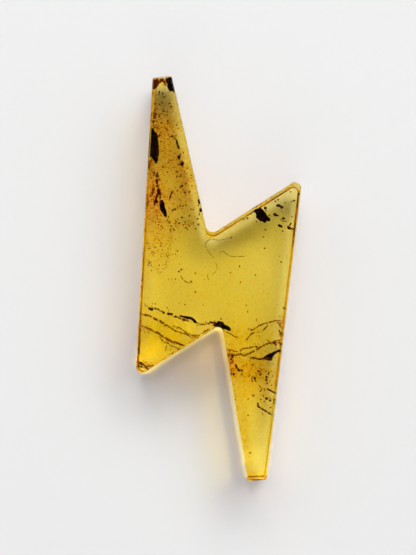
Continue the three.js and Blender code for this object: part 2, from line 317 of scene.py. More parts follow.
BROWN_SPECKS = [
    (292.3, 228.9, 3, 1.9, -15), (159.2, 94.3, 1.6, 1.2), (164.3, 97, 1.6, 1.5), (162, 102.5, 1.6, 1.5),
    (159.4, 104.5, 1.6, 1.5), (171, 106.7, 2, 1.8), (163.7, 111.3, 2.6, 1.2), (167.4, 115.2, 1.4),
    (161.3, 122.8, 1.9, 1.5, -35), (176.8, 124.7, 1.3, 2), (178.3, 128.4, 1.3, 1.6),
    (165.7, 128.4, 2.2, 1.3, -20), (155.5, 115.2, 1.5, 5.5), (159.3, 115.5, 1.4, 1.6),
    (156.9, 108.3, 1.1, 3), (163, 109.4, 1.5, 1.2), (161.3, 79.4, 1.5, 2.8), (163.2, 81.1, 1.2, 2.4, 35),
    (160.5, 82.2, 1.2, 1.6), (165.3, 85.3, 1.5, 1.6), (163.4, 84.9, 0.9, 1.6, 30), (157.4, 128.5, 1.1, 2),
    (160.8, 141.4, 1.5, 1.4), (167.5, 130, 1.6, 1.4, -30), (169.5, 136.7, 1.3), (175.9, 135.8, 1.4),
    (174.8, 138.5, 2, 1.2, -15), (183.4, 152.4, 1.4), (180.2, 154.8, 1.1, 2.2, -30), (179.5, 161.5, 1.2),
    (170.8, 160.4, 2, 1.2, 30), (168.6, 162.4, 1.5, 1.6), (162.8, 166.9, 2.2, 1.6),
    (187.3, 168.4, 1.6, 1.3), (191.1, 175.4, 1.5, 1.3), (176.8, 176.5, 1.6, 1.4), (180.4, 175.6, 1.5),
    (167.5, 172, 1.6), (177.7, 171.8, 2.2, 1.2, -20), (154.3, 172.7, 2, 2.2), (177.5, 190.6, 1.6),
    (189.8, 191.3, 1.4), (198.3, 205.3, 1.3), (180.2, 205.8, 1.7, 1.6), (182.9, 205.9, 1.5, 1.4),
    (186, 205.2, 1.9, 1.7), (175.7, 210, 1.3), (177.7, 219.2, 1.5), (190.9, 209.3, 1.5, 1.4),
    (193.4, 209.5, 1.5, 1.4), (176.4, 221.6, 1.7, 1.3), (175.5, 223.3, 1.5, 1.4),
    (169.5, 222.1, 1.4, 2.6, 10), (167.5, 220.3, 1.3, 2, -20), (168.4, 217.1, 1.2, 1.8),
    (171.3, 226.3, 1.9, 1.6), (170.4, 229.2, 1.6, 1.4), (161.4, 226.3, 1.5, 2, 20), (162.6, 228.3, 1.4),
    (158.5, 224.7, 1.5), (174.4, 230.1, 1.9, 1.6), (173.3, 228.5, 1.4), (183.3, 225, 1.5, 2),
    (187.6, 229.2, 1.4), (185.1, 222.1, 1.3, 1.8), (189.5, 226, 1.6), (195.6, 228.8, 1.8, 1.4, -30),
    (197.6, 218.9, 2, 1.6), (199.2, 214.2, 1.1, 2.6), (193.4, 222.9, 1.6, 1.4), (155.4, 222.1, 1.4),
    (159.4, 179.8, 1.8, 1.4), (147.5, 243, 1.3), (148.4, 248.1, 1.3, 1.2), (155, 247.3, 1.5),
    (160.4, 246.1, 1.4), (162.4, 249.9, 1.2), (154.7, 253.3, 1.2), (177.4, 251, 1.4, 1.8),
    (175.6, 253.9, 1.2), (149.5, 262.8, 1.3), (148.4, 265.6, 1.2), (151.5, 265.6, 1.2),
    (151.5, 270.5, 1.2), (159.3, 265.4, 1.2), (157.8, 269.1, 1.2), (195.4, 273.1, 1.4),
    (168.5, 279.4, 1.2), (175.4, 279.1, 1.2), (195.4, 291.9, 1.5), (184.9, 304.4, 1.6, 1.3),
    (155.3, 303.8, 1.3), (152.4, 303.8, 1.1), (290.6, 191.7, 1.6), (278.1, 199.6, 1.6),
    (275.3, 201.4, 1.6), (285.2, 202.7, 1.6, 1.4), (291.8, 216.5, 1.2), (288.3, 226.4, 1.9, 1, -35),
    (265.3, 229.7, 2.2, 1.3), (243.9, 219.2, 1.8, 1.7), (269.4, 215.2, 1.5, 1.3), (256.6, 221.6, 1.4),
    (265.8, 210.6, 2.4, 1, -35), (291.7, 201.5, 2, 0.9, 10), (231.3, 237.5, 1.8, 1.5),
    (263.3, 236.8, 1.5, 1.3), (264.6, 248.3, 1.7, 1.4), (239.5, 266.4, 1.2, 2), (230.4, 272.7, 1.2, 1.4),
    (255.4, 275.1, 1.3, 1.4), (240.5, 282.2, 1.3, 1.6), (281, 262, 1.4, 1.3), (246.4, 305.2, 1.4, 1.3),
    (247.5, 311.6, 1.5), (256.6, 320, 1.2, 2), (221, 318.9, 1.7, 1.5), (178.8, 318.1, 1.6, 1.4),
    (187.4, 320.4, 1.5, 1.3), (162.1, 323.3, 1.6, 1.3, -20), (165, 325.6, 1.8, 1.3, -20),
    (170.2, 327.3, 1.8, 1.3, -20), (172.5, 329, 2, 1.4, -20), (179.9, 332.5, 1.6, 1.1, -20),
    (188, 335.4, 1.8, 1.2, -25), (194.9, 337.1, 1.7, 1.2, -20), (172.8, 353.4, 1.6, 1.5),
    (148.9, 366.4, 2.6, 1.4, 20), (152.4, 365.2, 2.4, 1.2, 20), (223.6, 331, 1.5, 2.2),
    (259.4, 325.2, 2, 1.3, 25), (262.7, 324.1, 2.2, 1.3, 15), (275.7, 320.6, 2.8, 1.4),
    (279.5, 342.5, 2, 1.5), (243.2, 348.6, 2, 1.2, 20), (258.4, 371, 2.6, 1.5, -15),
    (260.5, 374.5, 2.8, 2, 30), (252.4, 381, 1.8, 1.4), (232.9, 361, 1.7, 1.8), (231.3, 373.4, 1.7, 1.6),
    (266.2, 371.3, 1.2, 1.4), (271.4, 385.3, 1.3), (264.4, 388.8, 1.6, 1.3), (261.6, 389.7, 1.2, 1.6),
    (263.5, 396.1, 1.1, 2), (270.5, 407.5, 2.2, 1.4), (264.5, 401.4, 2, 1.1),
    (260.8, 399.4, 1.8, 1.1, -20), (262.5, 413.8, 1, 2.2), (248.1, 399.1, 2.6, 1, 35),
    (253.5, 395.5, 2.4, 1.4, 40), (248.1, 415.2, 2, 1.1), (250.1, 452.8, 1.8, 1.4),
]

# Loose scraps near the top tip and beside the chip: material, depth of the middle and thickness in
# mm, and the outline's places.
SCRAPS = {
    "scrap_tip_left": ("brown_dust", 0.55, 0.6, [
        (152.9, 77.6), (157.6, 77.2), (157.9, 80), (159.6, 82), (158.2, 84.4), (157, 86.5), (155.4, 88.4),
        (154, 89.2), (152.5, 88.2), (152.7, 83),
    ]),
    "scrap_tip_middle": ("maroon_dust", 0.6, 0.6, [
        (165.8, 76.6), (168.6, 76.4), (168.8, 80.5), (168.4, 84), (167, 83.6), (165.9, 80.2),
    ]),
    "scrap_tip_right": ("dark_bark", 0.5, 0.6, [
        (168.6, 76.2), (171, 76.1), (172.4, 80.5), (173.4, 84.7), (171.8, 85.6), (171.9, 87),
        (174.2, 87.2), (174.9, 91.6), (173.9, 92.7), (172.6, 91), (170.2, 91.7), (168.9, 90),
        (167.8, 87.6), (167.4, 84.9), (168.8, 84.2), (168.7, 81),
    ]),
    "scrap_beside_chip": ("dark_bark", 1.6, 0.5, [
        (251.7, 209.4), (255.4, 207), (256.9, 208), (258, 209.6), (256.4, 211.6), (254.8, 211.4),
    ]),
}

# Thin strands by kind: width in pixels, depth in mm at both ends, and the places of the path.
STRANDS = {
    "maroon": [
        (2.8, 1.2, 1.6, [(157.4, 172.7), (157.4, 176), (157, 180), (157, 184)]),
        (2.3, 1.4, 1.7, [(157, 184), (157.4, 188), (158.2, 192.6), (156.4, 197.6), (155.4, 204)]),
        (1.8, 1.6, 2.2, [(158, 187), (159.2, 190), (160.2, 193.9), (160.3, 199.6)]),
        (1.5, 1.3, 1.6, [(173.4, 190.6), (171.2, 194.2), (170.4, 197), (169.4, 200.6)]),
        (0.8, 0.3, 0.3, [(141.4, 300), (140.6, 315), (139.7, 330), (138.9, 345), (138.3, 356)]),
        (1.5, 0.6, 0.8, [(136.8, 366), (139.4, 366.6), (142, 367.2)]),
        (1.6, 0.8, 0.8, [(140.2, 361.8), (140.8, 363.2), (142, 364.4)]),
        (1.6, 0.8, 0.8, [(145.6, 367.2), (147, 368.4), (147.8, 369)]),
    ],
    "brown": [
        (1.8, 1, 1.4, [(152.6, 89.8), (152.4, 95), (152.6, 101)]),
        (2, 0.8, 1.2, [(154.6, 109), (155.2, 113), (154, 118), (153, 124)]),
        (1.6, 0.9, 1.4, [(151.6, 159), (149.8, 164), (149.6, 169)]),
        (2, 0.8, 1.4, [(152, 187.4), (153.4, 189.2), (152.6, 192), (150.4, 197)]),
        (2, 0.4, 0.6, [(159.4, 76.8), (160.4, 79), (162.2, 81.6)]),
        (2.2, 0.4, 0.6, [(164.4, 76.6), (162.6, 78.4), (160.6, 81), (158.6, 83.6)]),
        (1.6, 0.4, 0.6, [(163.4, 80), (164.6, 82.6), (166.2, 85.6)]),
        (0.9, 0.3, 0.3, [(248.6, 476.3), (256, 476.1), (264.4, 476.3)]),
        (0.9, 0.3, 0.3, [(249, 479.2), (256, 479.4), (263.6, 479.2)]),
        (0.9, 1.5, 2.5, [(180.5, 275.1), (182.2, 278.4), (184.5, 280.9), (188.6, 282.9), (193.1, 282.6)]),
        (0.9, 1, 1.3, [(280.1, 219), (281.6, 220.4), (283.2, 221.1), (287, 221.3)]),
        (0.8, 1, 2, [(166.7, 306.6), (167.4, 309), (169, 311.4)]),
        (1.8, 1.2, 2.4, [(141.5, 313.5), (144.4, 315), (149.5, 315.8), (154.7, 318.7), (160.4, 321.3),
            (164.4, 323.9), (169, 326.2)]),
        (0.9, 1.8, 2.6, [(169, 326.2), (172.5, 329.2), (175.3, 330.8), (179.9, 332.5), (185.1, 333.9),
            (188.4, 335.6), (193.1, 338.6)]),
        (0.8, 1.4, 2, [(172.5, 326.2), (178.8, 327.3), (183.4, 330.8), (188.6, 334.2), (193.1, 335.4),
            (198.9, 335.9)]),
        (1.5, 1, 2.2, [(139.6, 325.1), (144.4, 326.7), (149.5, 329), (153, 331.3), (158.1, 333.1),
            (162.1, 335.9), (167.3, 338.8), (172.5, 341.7), (175.9, 342.2), (181, 344.6), (185.1, 345.7)]),
        (0.8, 1.8, 2.8, [(159.4, 336.4), (161.6, 339.7), (164.8, 342.6), (167.3, 342.8), (172.5, 345.7),
            (177.1, 348), (180.2, 349.2)]),
        (0.7, 1.5, 2.5, [(166.7, 345.1), (165.8, 348.4), (165, 351.4)]),
        (0.8, 0.3, 0.3, [(144.3, 246), (143.8, 256), (142.8, 275), (142, 290), (141.5, 299)]),
        (1.4, 0.8, 1.6, [(138, 361.4), (140.9, 362.8), (144.4, 365.6), (147.8, 368.6)]),
        (1.3, 0.7, 1, [(203, 332.3), (206.4, 330.6), (209.8, 328.9)]),
        (0.9, 1.6, 2.2, [(197.4, 323.4), (201.8, 324.4), (206.9, 323.9), (212, 322.4)]),
        (0.9, 1.6, 2.2, [(226, 331.8), (231.3, 334.4), (234.5, 336.6), (238, 337.4)]),
        (1, 1.8, 3, [(247, 329.5), (251.9, 330.1), (256.7, 327.3), (259.4, 325.2), (262.7, 324.1),
            (267.6, 323), (271.4, 322), (275.7, 320.6), (279.4, 320.4), (283, 321)]),
        (1, 1.4, 2, [(246.6, 339.8), (249.7, 335.7), (251.9, 333.6), (255.1, 332.2)]),
        (0.8, 1.5, 2.5, [(262.4, 331.2), (264.9, 328.4), (268.1, 325.2)]),
        (0.9, 1.2, 1.8, [(279.5, 333.8), (280.9, 337.1)]),
        (0.9, 1, 2, [(276.4, 321.4), (279.4, 324), (281.2, 327.6)]),
        (0.9, 1.4, 2, [(283.4, 321.4), (280.6, 323.4), (279.8, 327.3)]),
        (1.1, 2, 2.6, [(227.2, 349.6), (231.3, 350.1), (234.6, 351.3), (238.6, 351.2), (243.2, 348.5),
            (248.6, 348.2), (252.9, 346.9), (257.7, 346.4)]),
        (1.1, 1.6, 2.4, [(228.6, 353.4), (231.3, 355), (236.7, 355), (239.6, 353.4), (244.3, 355.6),
            (250.2, 353.2)]),
        (1.2, 2.2, 1.2, [(245.4, 354.4), (250.2, 352.8), (255.7, 350.1), (261.1, 346.9), (266.5, 344.1),
            (271.9, 342.5), (275.7, 340.9), (281.6, 339)]),
        (0.8, 1.4, 1.8, [(266.8, 339.3), (269.7, 342.5), (272.5, 345.2)]),
        (0.8, 1.6, 2.2, [(258.4, 384.8), (261.8, 388.7)]),
        (0.8, 2.6, 3.4, [(252.4, 381), (251.6, 378), (253.4, 376.4)]),
    ],
    "black": [
        (2.2, 1.4, 1.6, [(148.4, 308.2), (150.6, 309), (153.2, 310.2)]),
        (1.7, 1.2, 1.5, [(209.4, 321.6), (213, 322.6), (217, 323.2)]),
        (1.3, 1, 1.6, [(278.8, 330), (280.9, 333.3), (282.6, 335.4)]),
        (1.4, 1.8, 2.4, [(250.6, 357.8), (253.5, 357.5), (256.4, 358.4), (260, 359.2), (263.4, 358.8)]),
        (1.5, 1, 1.5, [(264, 357.6), (267.6, 359.6), (271.2, 359.8)]),
        (1.3, 1.2, 2, [(235.4, 364), (236.7, 366.9), (238.3, 369.6), (239.9, 371.2)]),
        (1.5, 1.4, 0.9, [(267.2, 388.8), (270.8, 390.7), (273.5, 392.3), (276, 393.5)]),
        (1.6, 1.2, 0.8, [(257.8, 403.4), (258.6, 406.8), (263.2, 409.5), (268.5, 412.8), (272.4, 415)]),
    ],
    "hair": [
        (0.75, 1.6, 2.4, [(232.1, 237.2), (224, 239.4), (218.1, 240), (211, 239.3), (206.8, 241.8),
            (205.4, 245.6), (208.2, 250.9), (211.8, 255.8), (214.6, 258.5)]),
        (0.75, 2, 1.5, [(219, 255), (220.4, 251.9), (223.6, 251.5), (226.9, 254.3), (230.7, 256.2),
            (236.7, 256.7), (243.2, 256.4), (247.5, 255.4)]),
        (0.6, 2.2, 2.8, [(215.3, 262.1), (217, 266.4), (216.4, 270.8), (211.8, 274.7)]),
        (0.6, 2.4, 2.8, [(207.5, 274), (207.9, 278.2), (209.3, 280.4)]),
    ],
}

# Dust on the faces between two flows of resin: crumbs for each pixel of length, half the spread in
# pixels, depth range in mm, and the places of the path.
DUST_SEAMS = [
    (8, 1.5, (0.8, 2.6), [(143.2, 303.8), (147, 306.6), (155.3, 308.6), (163.3, 312.4), (170, 314.4),
        (175.6, 316.9), (184.2, 319.9), (190, 321.4)]),
    (5, 2.4, (0.5, 2), [(139.8, 328), (145, 331), (150, 333.4)]),
    (7, 1.6, (1, 3), [(197.4, 323.8), (204, 323.8), (210.7, 323), (215, 321.6)]),
    (5, 1, (0.8, 3.2), [(141.5, 313.5), (149.5, 316.2), (154.7, 319), (162.1, 323), (169, 327),
        (175.3, 330.6), (185.1, 334), (194.9, 337.6)]),
    (3, 1, (1, 2.4), [(172.5, 326.2), (178.8, 328), (188.6, 333.6), (199, 335.6)]),
    (6, 1.2, (0.8, 3.2), [(139.6, 325.4), (149.5, 329.4), (158.1, 333.6), (164.4, 338.4), (172.5, 342.6),
        (181, 345)]),
    (3, 0.9, (1, 3), [(160, 338), (164.8, 342.6), (172.5, 345.9), (180, 349)]),
    (7, 1.4, (0.5, 2), [(137.8, 361.6), (142, 364.6), (147.8, 368.2)]),
    (3, 2.2, (0.5, 2), [(144, 363.4), (148, 364.6), (152.4, 364)]),
    (5, 1.2, (0.8, 2), [(198, 336), (203, 332.8), (207.6, 329.8)]),
    (3, 1, (0.8, 2.6), [(226, 331.8), (231.3, 334.4), (238, 337.6)]),
    (3, 0.9, (1, 3.2), [(247, 329.5), (256.7, 327.3), (263, 324), (275.7, 320.8), (283, 321)]),
    (3, 0.9, (1, 3), [(246.6, 339.8), (252, 333.6), (262.4, 331.2), (268.1, 325.2)]),
    (4, 1.1, (1, 3.2), [(227.2, 349.8), (238.6, 351.4), (245, 348.4), (257.7, 346.6)]),
    (5, 1.2, (0.8, 3.2), [(228.6, 353.4), (238, 354.8), (250.2, 353), (261.1, 347.2), (271.9, 342.7),
        (281.6, 339.4)]),
    (6, 1.4, (0.8, 2.6), [(250.6, 357.8), (258, 358.8), (266, 358.6), (271.2, 359)]),
    (5, 1.6, (0.6, 2.4), [(272, 344), (277, 343.4), (282, 342.6)]),
    (6, 1.6, (0.6, 2.6), [(229.6, 353.6), (231.4, 358), (232.8, 362)]),
    (3, 1, (0.8, 2), [(266, 388.4), (270.8, 390.7), (276, 393.5)]),
    (4, 1.8, (0.6, 1.8), [(168, 222), (170.9, 230), (169.7, 246.7), (167.3, 256.3), (166, 264.8),
        (162.5, 271.4), (156.5, 270.8), (151.7, 264.8), (146.8, 260)]),
    (3, 1.4, (0.6, 1.8), [(156, 236), (160, 242), (162, 250), (160.4, 257)]),
    (3, 1.4, (0.6, 1.8), [(143, 228), (146, 236), (147.4, 244), (150.6, 250), (153, 256)]),
    (3, 0.8, (0.8, 2), [(257.8, 403.4), (258.6, 406.8), (268.5, 412.8), (272.4, 415)]),
]

# Clouds of fine dust: place of the middle, half the width and height in pixels, how many crumbs,
# depth range in mm, and turn in degrees where there is one.
DUST_CLOUDS = [
    (155, 100, 3.5, 14, 260, (0.5, 3)), (163, 125, 9, 16, 260, (0.5, 3.5)),
    (156, 120, 4, 12, 160, (0.5, 3)), (163, 150, 9, 14, 260, (0.5, 3.5)),
    (155, 172, 6, 12, 300, (0.5, 3.5)), (170, 170, 10, 14, 260, (0.5, 3.5)),
    (156, 196, 7, 13, 380, (0.5, 3.5)), (172, 195, 10, 12, 240, (0.5, 3.5)),
    (187, 185, 8, 14, 150, (0.5, 3.5), -15), (160, 216, 12, 9, 330, (0.5, 3.5)),
    (179, 208, 8, 5, 150, (0.5, 3.5)), (176, 224, 12, 6, 300, (0.5, 3.5)), (190, 224, 9, 5, 190, (0.5, 3)),
    (165, 234, 16, 8, 300, (0.5, 3.5)), (166, 106, 6, 12, 110, (0.8, 3.5), -10),
    (158, 248, 14, 18, 350, (0.5, 2.5)), (172, 262, 12, 16, 140, (0.5, 3.5)),
    (158, 290, 20, 18, 80, (0.5, 3.5)), (258, 330, 24, 12, 220, (0.5, 3), -20),
    (250, 364, 16, 12, 260, (0.5, 3)), (143, 330, 5, 4, 90, (0.5, 2.5)), (174, 350, 5, 5, 110, (0.5, 2.5)),
    (141, 365, 4, 3, 90, (0.5, 2)), (281, 326, 4, 8, 150, (0.5, 3)), (230, 357, 3.5, 8, 130, (0.5, 3)),
    (240, 368, 8, 6, 80, (0.5, 3)), (268, 376, 5, 9, 90, (0.5, 3)), (258, 376, 6, 6, 90, (0.5, 3), 30),
    (265, 394, 9, 8, 150, (0.5, 3)), (277, 346, 6, 5, 130, (0.5, 2.5)),
    (283, 205, 12, 12, 70, (0.5, 3.5), 20), (285, 226, 8, 6, 50, (0.5, 3)),
    (262, 340, 20, 14, 130, (0.5, 3.5)), (215, 325, 9, 4, 90, (0.5, 2)), (255, 300, 30, 30, 110, (0.5, 4)),
    (200, 290, 35, 30, 110, (0.5, 4)),
]


# Making sealed things

# Sealed things keep about this far from the walls and faces, in mm.
WALL_MARGIN = 0.04
SAFE_RINGS = [outline(WALL_MARGIN, height) + SHIFT for height in (0, THICKNESS)]
# The middles of crumbs and strands keep this much further from the walls, in mm.
LEAST_ROOM = 0.03
# A point that stands out is drawn to this share of its way from the middle, so often at most.
DRAW_SHARE = 0.97
DRAW_STEPS = 60

# Rough bark: the width of its mesh in mm, what remeshing takes off all round, the turns of its
# fibres per mm along, across and through a piece, how far they stand out, and their noise's
# smoothness, growth and octaves
REMESH_STEP = 0.045
SWELL = 0.02
FIBRE_SCALE = np.array((1.6, 5.0, 5.0))
FIBRE_DEPTH = 0.09
FIBRE_NOISE = (0.8, 2.2, 4)
# Rings of a scrap from its back to its top: the share of its thickness and of its outline
SCRAP_RINGS = ((-0.5, 0.7), (-0.2, 1.0), (0.2, 1.0), (0.5, 0.7))

# Strands: the step along them in pixels, their sides, how thick their tips are and how fast they
# reach their full thickness, how many steps run before a break and how many it takes, and the
# fewest points of a part
STRAND_STEP = 0.5
STRAND_SIDES = 6
TIP_SHARE = 0.35
TIP_GROWTH = 4
STRAND_RUN = (5, 22)
STRAND_BREAK = (0, 4)
SHORTEST_PART = 3

# Crumbs: the usual size in mm, how many times as large the largest one is, and how much a crumb
# is stretched and its corners are off
CRUMB_SIZE = 0.12
LARGEST_CRUMB = 1.6
CRUMB_STRETCH = (0.5, 1.4)
CRUMB_JITTER = 0.25
# Middle and spread of the sizes of crumbs, as powers of e, the share of the noted number that is
# made, and how far a cloud spreads, as a share of its half width and height
SEAM_SIZES = (0, 0.4)
SEAM_SHARE = 0.45
CLOUD_SIZES = (-0.1, 0.35)
CLOUD_SHARE = 0.26
CLOUD_SPREAD = 0.6
# Specks: how many times as large as noted, how uneven, and their depth in mm
SPECK_SHARE = 1.2
SPECK_STRETCH = (0.75, 1.2)
SPECK_DEPTHS = (0.5, 2.2)
BLACK_SEED, BROWN_SEED, STRAND_SEED, SEAM_SEED, CLOUD_SEED = range(11, 16)

OCTAHEDRON = np.array([(1, 0, 0), (-1, 0, 0), (0, 1, 0), (0, -1, 0), (0, 0, 1), (0, 0, -1)])
OCTAHEDRON_FACES = np.array([
    (0, 2, 4), (2, 1, 4), (1, 3, 4), (3, 0, 4), (2, 0, 5), (1, 2, 5), (3, 1, 5), (0, 3, 5),
])


def unit_sphere(subdivisions):
    work = bmesh.new()
    bmesh.ops.create_icosphere(work, subdivisions=subdivisions, radius=1)
    points = np.array([tuple(v.co) for v in work.verts])
    faces = np.array([[v.index for v in face.verts] for face in work.faces])
    work.free()
    return points, faces


SPHERE = unit_sphere(2)


def is_sealed(points):
    """Which points in mm lie inside the amber, with the margin to its walls and faces."""
    sealed = (points[:, 2] > WALL_MARGIN) & (points[:, 2] < THICKNESS - WALL_MARGIN)
    for ring in SAFE_RINGS:
        sealed &= is_inside(points, ring)
    return sealed


def room_around(points):
    """How far each sealed point in mm is from the margin to the walls."""
    return np.min([distance_to(points, ring) for ring in SAFE_RINGS], axis=0)


def drawn_inside(points):
    """The points, with those that stand out of the amber drawn towards the middle of them all."""
    points = points.copy()
    middle = points.mean(0)
    out = np.flatnonzero(~is_sealed(points))
    for _ in range(DRAW_STEPS):
        points[out] = middle + (points[out] - middle) * DRAW_SHARE
        out = out[~is_sealed(points[out])]
    return points


def turning(degrees):
    """The matrix that turns rows of x and y."""
    cos, sin = math.cos(math.radians(degrees)), math.sin(math.radians(degrees))
    return np.array([(cos, sin), (-sin, cos)])


def curve_through(corners, step):
    """Points about a step apart on a smooth curve through the corners, which may have depths."""
    corners = np.asarray(corners, float)
    padded = np.concatenate([2 * corners[:1] - corners[1:2], corners, 2 * corners[-1:] - corners[-2:-1]])
    points = []
    for before, start, end, after in zip(padded, padded[1:], padded[2:], padded[3:]):
        count = max(2, round(np.linalg.norm((end - start)[:2]) / step))
        t = np.arange(count)[:, None] / count
        bend = (2 * before - 5 * start + 4 * end - after) * t ** 2
        cube = (3 * start - before - 3 * end + after) * t ** 3
        points.append((2 * start + (end - before) * t + bend + cube) / 2)
    return np.concatenate(points + [corners[-1:]])


class Pile:
    """Closed shapes in mm that end up in one mesh."""

    def __init__(self, seed):
        self.random = np.random.default_rng(seed)
        self.points = []
        self.faces = []
        self.count = 0

    def add(self, points, faces):
        self.points.append(points)
        self.faces.append(np.asarray(faces) + self.count)
        self.count += len(points)

    def dust(self, places, depths, sizes):
        """Crumbs of random sizes at these places, within a range of depths."""
        count = len(places)
        sizes = CRUMB_SIZE * np.minimum(self.random.lognormal(*sizes, count), LARGEST_CRUMB)
        self.crumbs(sealed_at(places, self.random.uniform(*depths, count)), sizes)

    def crumbs(self, centres, sizes):
        """Jagged grains of these sizes in mm."""
        room = room_around(centres)
        kept = is_sealed(centres) & (room > LEAST_ROOM)
        centres, sizes = centres[kept], np.minimum(sizes, room)[kept]
        turns = np.linalg.qr(self.random.normal(size=(len(centres), 3, 3)))[0]
        stretch = self.random.uniform(*CRUMB_STRETCH, (len(centres), 1, 3))
        jitter = self.random.uniform(-CRUMB_JITTER, CRUMB_JITTER, (len(centres), 6, 3))
        corners = (OCTAHEDRON * stretch + jitter) * sizes[:, None, None] / 2
        points = centres[:, None] + corners @ turns
        faces = OCTAHEDRON_FACES + 6 * np.arange(len(centres))[:, None, None]
        self.add(points.reshape(-1, 3), faces.reshape(-1, 3))

    def speck(self, x, y, width, height=None, turn=0):
        """A rough grain at a place of the picture, round unless it has a height of its own."""
        depth = self.random.uniform(*SPECK_DEPTHS)
        size = (width * SPECK_SHARE, (height or width) * SPECK_SHARE)
        points, faces = SPHERE
        half = np.array([size[0], size[1], min(size)]) * MM_PER_PIXEL / 2
        shape = points * half * self.random.uniform(*SPECK_STRETCH, (len(points), 1))
        shape[:, :2] = shape[:, :2] @ turning(turn)
        self.add(drawn_inside(sealed_at((x, y), depth) + shape), faces)

    def strand(self, path, radii):
        """A tube along a path in mm, closed with a point at each end."""
        along = np.gradient(path, axis=0)
        side = np.cross(along, (0, 0, 1))
        side /= np.linalg.norm(side, axis=1)[:, None]
        up = np.cross(side, along)
        up /= np.linalg.norm(up, axis=1)[:, None]
        angles = np.arange(STRAND_SIDES) * 2 * math.pi / STRAND_SIDES
        out = side[:, None] * np.cos(angles)[:, None] + up[:, None] * np.sin(angles)[:, None]
        tube = (path[:, None] + out * radii[:, None, None]).reshape(-1, 3)
        tips = np.stack([path[0] - along[0] / 2, path[-1] + along[-1] / 2])
        corner = np.arange(STRAND_SIDES)
        following = (corner + 1) % STRAND_SIDES
        faces = []
        for ring in range(len(path) - 1):
            low, high = ring * STRAND_SIDES, (ring + 1) * STRAND_SIDES
            faces.append(np.stack([low + corner, low + following, high + following], 1))
            faces.append(np.stack([low + corner, high + following, high + corner], 1))
        first, last = len(tube), len(tube) + 1
        high = (len(path) - 1) * STRAND_SIDES
        faces.append(np.stack([following, corner, np.full(STRAND_SIDES, first)], 1))
        faces.append(np.stack([high + corner, high + following, np.full(STRAND_SIDES, last)], 1))
        self.add(np.concatenate([tube, tips]), np.concatenate(faces))

    def finished(self, name, material, smooth=False):
        points, faces = np.concatenate(self.points), np.concatenate(self.faces).tolist()
        seal(mesh_piece(name, points, faces, material, smooth))


def seal(piece):
    """Makes a sealed piece part of the amber's body."""
    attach(piece, "root")


def roughened(name, points, faces, material):
    """A finely remeshed copy of a closed shape in mm, with fibres and pits in its surface."""
    mesh = bpy.data.meshes.new("shape")
    mesh.from_pydata(points.tolist(), [], faces)
    shape = placed("shape", mesh)
    remesh = shape.modifiers.new("remesh", "REMESH")
    remesh.mode = "VOXEL"
    remesh.voxel_size = REMESH_STEP
    made = shape.evaluated_get(bpy.context.evaluated_depsgraph_get()).to_mesh()
    spots = np.array([tuple(v.co) for v in made.vertices])
    normals = np.array([tuple(v.normal) for v in made.vertices])
    quads = [tuple(p.vertices) for p in made.polygons]
    bpy.data.objects.remove(shape)
    spread = spots - spots.mean(0)
    axes = np.linalg.svd(spread, full_matrices=False)[2]
    grain = (spread @ axes.T) * FIBRE_SCALE
    depth = np.array([noise.fractal(Vector(g), *FIBRE_NOISE) for g in grain])
    moved = spots + normals * (np.clip(depth, -1, 1) * FIBRE_DEPTH + SWELL)[:, None]
    moved[:, 2] = np.clip(moved[:, 2], WALL_MARGIN, THICKNESS - WALL_MARGIN)
    piece = mesh_piece(name, drawn_inside(moved), quads, material)
    seal(piece)
    return piece


def bark_pieces(material):
    """Rough bark in place of each plain bark solid."""
    for node_name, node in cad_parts.items():
        if not node_name.startswith("bark"):
            continue
        points = np.array([tuple(v.co) for v in node.data.vertices]) / MM
        faces = [tuple(p.vertices) for p in node.data.polygons]
        piece = roughened("rough_" + node_name, points, faces, material)
        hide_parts(node_name)


def scrap_pieces(materials):
    for name, (kind, depth, thickness, places) in SCRAPS.items():
        edge = sealed_at(places, depth)
        middle = edge.mean(0)
        rings = [middle + (edge - middle) * share + (0, 0, rise * thickness) for rise, share in SCRAP_RINGS]
        count, last = len(edge), len(rings) - 1
        ends = [tuple(range(count)), tuple(range(last * count, (last + 1) * count))]
        roughened(name, np.concatenate(rings), ends + ring_faces(len(rings), count), materials[kind])


def speck_piece(name, specks, seed, material):
    pile = Pile(seed)
    for speck in specks:
        pile.speck(*speck)
    pile.finished(name, material)


def strand_piece(name, kind, thicker, rough, material):
    """Every strand of one kind, so many times thicker, and uneven by a share of its thickness."""
    pile = Pile(STRAND_SEED)
    for width, first_depth, last_depth, places in STRANDS[kind]:
        depths = np.linspace(first_depth, last_depth, len(places))
        curve = curve_through(np.column_stack([places, depths]), STRAND_STEP)
        path = sealed_at(curve[:, :2], curve[:, 2])
        path = path[is_sealed(path) & (room_around(path) > LEAST_ROOM)]
        share = np.linspace(0, 1, len(path))
        taper = np.minimum(1, TIP_GROWTH * np.minimum(share, 1 - share) + TIP_SHARE)
        uneven = 1 + rough * pile.random.uniform(-1, 1, len(path))
        radii = np.minimum(thicker * width * MM_PER_PIXEL / 2 * taper * uneven, room_around(path))
        start = 0
        while start <= len(path) - SHORTEST_PART:
            end = min(len(path), start + pile.random.integers(*STRAND_RUN))
            if len(path) - end < SHORTEST_PART:
                end = len(path)
            pile.strand(path[start:end], radii[start:end])
            start = end + pile.random.integers(*STRAND_BREAK)
    pile.finished(name, material, smooth=True)


def dust_seams(material):
    pile = Pile(SEAM_SEED)
    for crumbs_per_pixel, spread, depths, places in DUST_SEAMS:
        curve = curve_through(places, STRAND_STEP)
        count = round(SEAM_SHARE * crumbs_per_pixel * len(curve) * STRAND_STEP)
        at = curve[pile.random.integers(0, len(curve), count)]
        at = at + pile.random.normal(0, spread / 2, (count, 2))
        pile.dust(at, depths, SEAM_SIZES)
    pile.finished("dust_of_the_seams", material)


